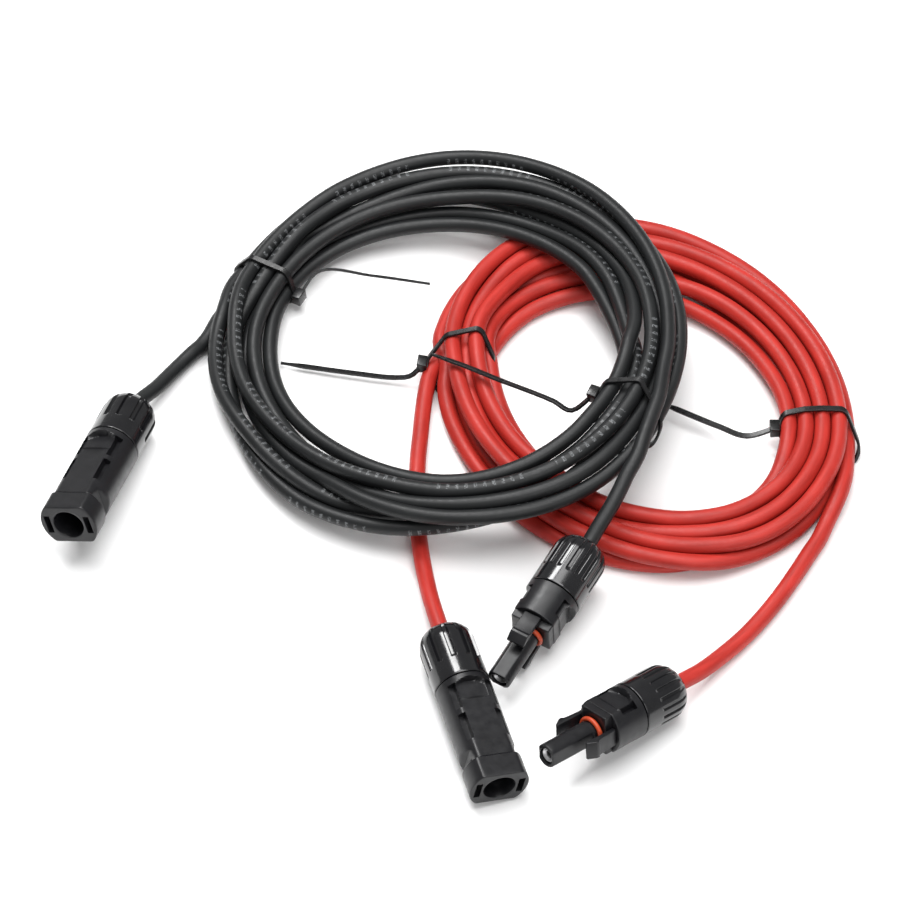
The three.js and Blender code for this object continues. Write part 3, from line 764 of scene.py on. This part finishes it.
def bevelled_prism(name, outline, low, high, axis_map, width):
    """An outline pushed out between low and high, with rounded edges. axis_map places it."""
    n = len(outline)
    verts = [axis_map(a, b, low) for a, b in outline] + [axis_map(a, b, high) for a, b in outline]
    faces = [tuple(range(n)), tuple(range(2 * n - 1, n - 1, -1))]
    faces += [(i, (i + 1) % n, n + (i + 1) % n, n + i) for i in range(n)]
    obj = plain_mesh(name, verts, faces)
    mod = obj.modifiers.new("edges", "BEVEL")
    mod.width = width * MM
    mod.segments = 3
    mod.limit_method = "ANGLE"
    mod.angle_limit = math.radians(25)
    apply_modifiers(obj)
    return obj


def latch_finger(name, letter):
    sign = 1 if letter == "a" else -1
    outline = [
        (6.35, 33.95), (7.9, 33.95), (8.1, 37.5), (8.3, 41.2), (9.0, 41.9), (9.0, 42.8),
        (7.3, 45.6), (6.5, 45.6), (6.4, 40.0),
    ]
    m = STAND[name]

    def spot(x, z, y):
        y = y * (1.08 if z > 41 else 1.02)
        p = m[:3, :3] @ np.array([sign * x, y, z]) + m[:3, 3]
        return row(p)

    obj = bevelled_prism(f"{name}_finger_{letter}", outline, -2.85, 2.85, spot, 0.22)
    finish_piece(obj, NYLON, f"{name}_latch_finger_{letter}", 40)


def seal_ring(name):
    rings = []
    theta = 2 * math.pi * np.arange(64) / 64
    for a in 2 * math.pi * np.arange(16) / 16:
        rings.append(ring_at(4.35 + 0.78 * math.cos(a), 37.3 + 0.78 * math.sin(a), theta))
    verts, faces = closed_grid(rings, True)
    add_piece(name + "_seal", to_row(name, verts), faces, RING, name + "_probe_ring", 60)


def socket_sleeve(name):
    theta = 2 * math.pi * np.arange(48) / 48
    profile = [(1.6, 20.2), (2.3, 20.2), (2.3, 28.8), (3.5, 28.8), (3.5, 31.5), (2.4, 31.5),
               (2.45, 55.5), (2.3, 55.75), (2.1, 55.75), (1.35, 55.0), (1.35, 36.0), (0.05, 36.0),
               (0.05, 27.6), (1.6, 27.6)]
    verts, faces = closed_grid([ring_at(r, z, theta) for r, z in profile], True)
    add_piece(name + "_sleeve", to_row(name, verts), faces, BRIGHT, name + "_socket_contact", 35)


for name in POSES:
    if "shell" in name:
        cap_nut(name, 12, 1.7, 1.0, 13.8)
        shell_housing(name)
    else:
        cap_nut(name, 18, 1.1, 0.6, 14.2)
        probe_housing(name)
        latch_finger(name, "a")
        latch_finger(name, "b")
        seal_ring(name)
        socket_sleeve(name)


# ---------------------------------------------------------------- cable ties
def strap_mesh(loop, across, outward, width, thick, closed):
    """A strap of rounded section along a loop or path of points."""
    corners = []
    w, t = width / 2, thick / 2
    for a, b in ((w - 0.15, t), (w, t - 0.15), (w, 0.15 - t), (w - 0.15, -t), (0.15 - w, -t),
                 (-w, 0.15 - t), (-w, t - 0.15), (0.15 - w, t)):
        corners.append((a, b))
    rings = []
    for p, s, o in zip(loop, across, outward):
        rings.append(np.array([p + s * a + o * b for a, b in corners]))
    return closed_grid(rings, closed)


def tie_section(coil, base, angle, at, uv):
    """Middles of the cables that a tie goes round at an angle, in its own plane, in mm."""
    found = []
    for k in range(9):
        want = 360.0 * k - angle
        if at[0] - 1 <= want <= at[-1] + 1:
            u = np.interp(want, at, uv[:, 0]) * coil.gap
            v = np.interp(want, at, uv[:, 1]) * coil.gap + base
            found.append((u, v))
    return np.array(found)


def cable_tie(node, coil, base, angle, at, uv, radius, side, lean, tail, width=2.0):
    """A tie round a coil: head outside (side 1) or inside (-1), its lower part leant along it."""
    middle, out, up, along = coil.cross(angle)
    spots = tie_section(coil, base, angle, at, uv)
    loop, outward = [], []
    top = spots[:, 1].max() + radius
    for a in np.linspace(0, 2 * math.pi, 120, endpoint=False):
        n = np.array([math.cos(a), math.sin(a)])
        p = spots[np.argmax(spots @ n)] + n * (radius + 0.62)
        loop.append(middle + out * p[0] + up * p[1] + along * lean * (top - p[1]))
        outward.append(out * n[0] + up * n[1])
    across = [along] * len(loop)
    verts, faces = strap_mesh(loop, across, outward, width, 1.0, True)
    rim = spots[np.argmax(spots[:, 0] * side)]
    edge = rim[0] * side + radius + 0.5
    centre = middle + out * side * (edge + 1.5) + up * rim[1] + along * lean * (top - rim[1])
    parts = [(verts, faces)]
    # head
    n0 = len(verts)
    head = bevelled_prism(
        node + "_head", [(-1.7, -1.9), (1.7, -2.2), (1.9, 2.2), (-1.5, 1.9)], -2.3, 2.3,
        lambda a, b, c: row(centre + out * side * a + up * b + along * c), 0.35,
    )
    # tail
    path = through([centre, *tail], 1.5)
    _, flat, thin = carried_frames(path, along)
    taper = np.clip((len(path) - np.arange(len(path))) / 6.0, 0.35, 1.0)
    verts2, faces2 = tail_mesh(path, flat, thin, width * 0.95, 0.95, taper)
    parts.append((verts2, faces2))
    all_verts = np.concatenate([p[0] for p in parts])
    all_faces = list(parts[0][1]) + [tuple(i + n0 for i in f) for f in parts[1][1]]
    strap = plain_mesh(node + "_strap", row(all_verts), all_faces)
    bpy.ops.object.select_all(action="DESELECT")
    head.select_set(True)
    strap.select_set(True)
    bpy.context.view_layer.objects.active = strap
    bpy.ops.object.join()
    finish_piece(strap, TIE, node, 40)


def tail_mesh(path, flat, thin, width, thick, taper):
    rings = []
    for p, s, o, k in zip(path, flat, thin, taper):
        w, t = width / 2 * k, thick / 2
        section = [(w - 0.12, t), (w, t - 0.12), (w, 0.12 - t), (w - 0.12, -t), (0.12 - w, -t),
                   (-w, 0.12 - t), (-w, t - 0.12), (0.12 - w, t)]
        rings.append(np.array([p + s * a + o * b for a, b in section]))
    verts, faces = closed_grid(rings, False)
    faces.append(tuple(range(8))[::-1])
    faces.append(tuple(range(len(verts) - 8, len(verts))))
    return verts, faces


cable_tie("black_tie_left", BLACK, BLACK_BASE, 150, black_at, black_uv, BLACK_D / 2, -1, -0.3,
          [(-44.3, 68.8, 10), (-26.2, 67.5, 9), (-6.8, 64.8, 8)])
cable_tie("black_tie_right", BLACK, BLACK_BASE, -24, black_at, black_uv, BLACK_D / 2, -1, 1.5,
          [(40.0, 2.0, 19), (34.0, 5.3, 20), (15.6, 16.0, 18), (4.0, 23.1, 16.5), (-6.4, 28.1, 16)])
cable_tie("red_tie_left", RED, RED_BASE, 166, red_at, red_uv, RED_D / 2, 1, -1.0,
          [(-13.0, 28.4, 4), (-18.0, 28.4, 2.8), (-33.0, 30.7, 2.4), (-57.1, 35.4, 1.8)])
cable_tie("red_tie_right", RED, RED_BASE, -4, red_at, red_uv, RED_D / 2, -1, 1.15,
          [(98.4, 1.3, 6), (89.9, 5.1, 6), (81.7, 9.3, 6), (75.5, 12.6, 6), (68.6, 16.0, 6)])

# ---------------------------------------------------------------- what stays from the frame
for node, obj in frame["nodes"].items():
    if obj.hide_render:
        continue
    obj.data.materials.clear()
    obj.data.materials.append(SLOT_MATERIAL[SLOT_OF[node]])

# ---------------------------------------------------------------- floor and light
bpy.ops.mesh.primitive_plane_add(size=14, location=(0, 0, -0.0003))
floor = bpy.context.object
floor.name = "floor"
mat, tree, bsdf = shader("floor")
tree.links.new(
    ramp(tree, noise(tree, 3, 2), [(0.3, (0.93, 0.93, 0.93)), (0.7, (0.95, 0.95, 0.95))]),
    bsdf.inputs["Base Color"],
)
bsdf.inputs["Roughness"].default_value = 0.9
bsdf.inputs["Specular IOR Level"].default_value = 0.1
floor.data.materials.append(mat)

world = bpy.data.worlds.new("world")
scene.world = world
world.use_nodes = True
background = world.node_tree.nodes["Background"]
background.inputs["Color"].default_value = (1, 1, 1, 1)
background.inputs["Strength"].default_value = 0.35


def softbox(name, location, size, power, aim=(0.02, 0.03, 0)):
    data = bpy.data.lights.new(name, "AREA")
    data.shape = "RECTANGLE"
    data.size, data.size_y = size
    data.energy = power
    obj = bpy.data.objects.new(name, data)
    obj.location = location
    obj.rotation_euler = (Vector(aim) - Vector(location)).to_track_quat("-Z", "Y").to_euler()
    scene.collection.objects.link(obj)


softbox("key", (-0.35, 0.75, 1.15), (0.5, 0.35), 12)
softbox("top", (0.1, 0.1, 1.5), (1.2, 1.0), 24)
softbox("fill", (0.6, -0.9, 0.9), (0.7, 0.7), 5)

scene.view_settings.view_transform = "Standard"
